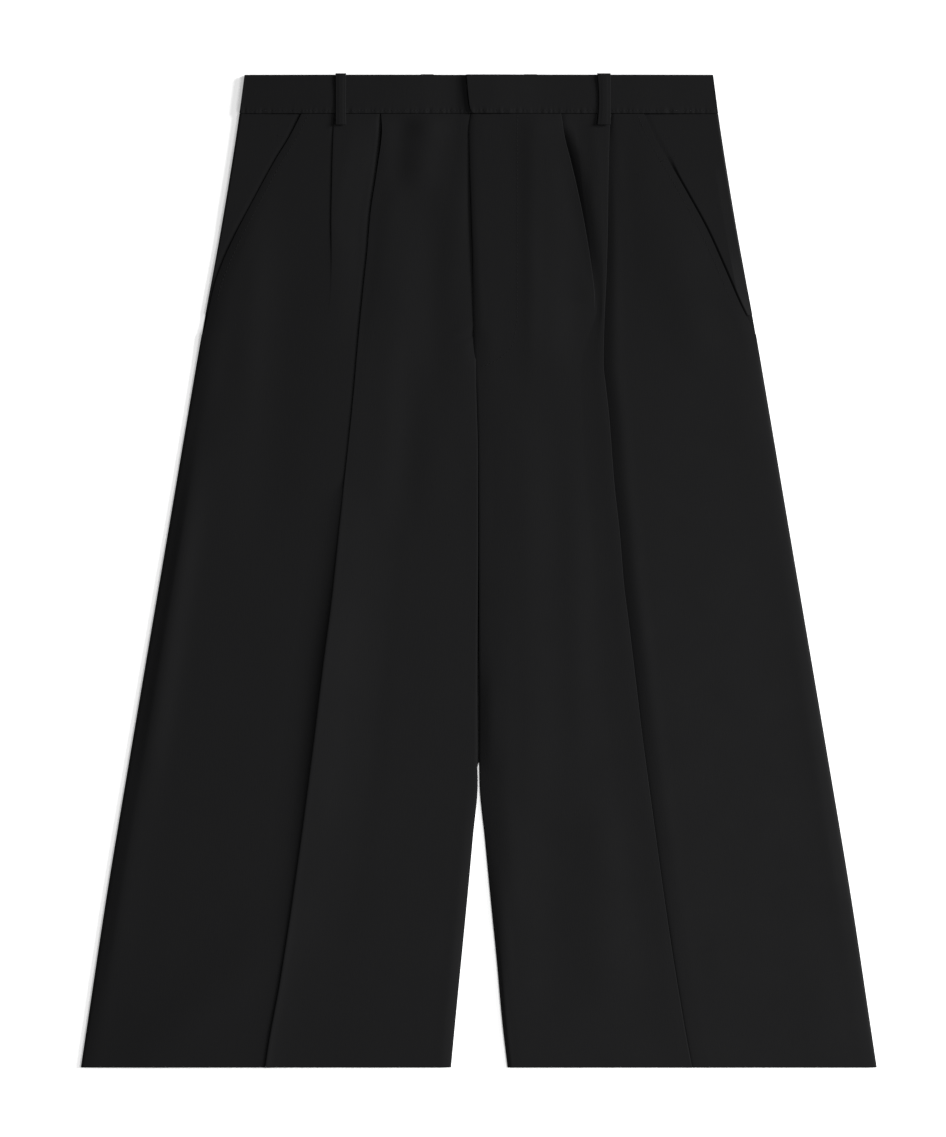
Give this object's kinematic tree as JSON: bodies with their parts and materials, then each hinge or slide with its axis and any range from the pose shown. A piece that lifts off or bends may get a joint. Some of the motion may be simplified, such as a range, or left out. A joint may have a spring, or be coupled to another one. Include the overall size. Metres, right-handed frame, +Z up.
{
  "type": "tailored shorts laid flat",
  "caption": "Black tailored shorts with reverse pleats, pressed creases and slanted pockets, laid flat with the front up.",
  "frame": {"origin": "centre of the bounding box in X and Y, on the surface that the back lies on", "axes": "+Y towards the waist, +Z up through the front, +X towards the wearer's left"},
  "size_m": [0.6156, 0.7705, 0.0086],
  "materials": {
    "cloth": "matt black suiting with a fine weave",
    "zip": "matt black tape",
    "slider": "dull dark metal"
  },
  "bodies": {
    "root": {"front_right": "cloth", "front_left": "cloth", "back_right": "cloth", "back_left": "cloth", "pocket_facing_right": "cloth", "pocket_facing_left": "cloth", "waistband_front_right": "cloth", "waistband_front_left": "cloth", "waistband_back": "cloth", "belt_loop_front_right": "cloth", "belt_loop_front_left": "cloth", "belt_loop_back_right": "cloth", "belt_loop_back_left": "cloth", "fly_zip": "zip", "zip_slider": "slider"}
  },
  "joints": []
}
